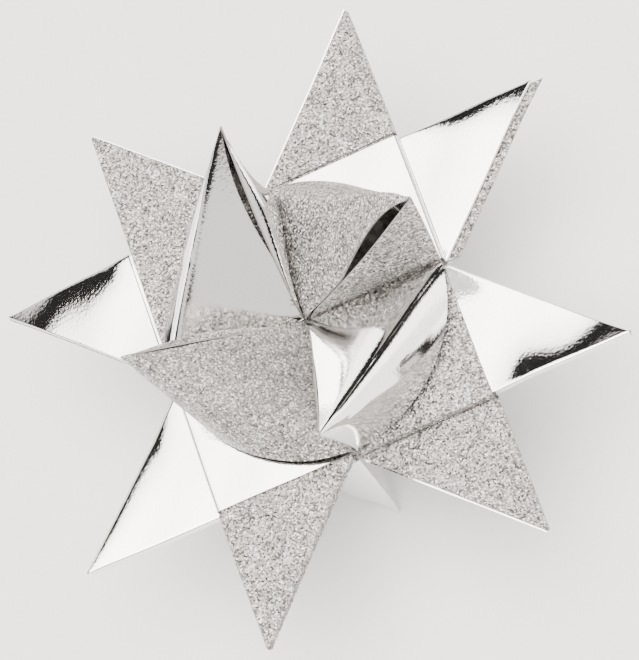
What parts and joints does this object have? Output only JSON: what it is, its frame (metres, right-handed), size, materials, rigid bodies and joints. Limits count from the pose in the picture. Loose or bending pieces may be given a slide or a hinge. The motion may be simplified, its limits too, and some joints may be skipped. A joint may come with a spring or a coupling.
{
  "type": "woven paper star",
  "caption": "Folded and woven paper star with flat points around a square weave and hollow cones in front and behind.",
  "frame": {"origin": "middle of the woven square, halfway through its layers, which is also the middle of the whole star", "axes": "+Z out of the front of the star, +X and +Y along the rows and columns of the weave; flat points lie parallel to XY"},
  "size_m": [0.1036, 0.1036, 0.051],
  "materials": {
    "mirror_paper": "smooth silver mirror foil on paper",
    "glitter_paper": "fine silver glitter on paper"
  },
  "bodies": {
    "root": {"mirror_strip_top": "mirror_paper", "glitter_strip_right": "glitter_paper", "mirror_strip_bottom": "mirror_paper", "glitter_strip_left": "glitter_paper"}
  },
  "joints": []
}
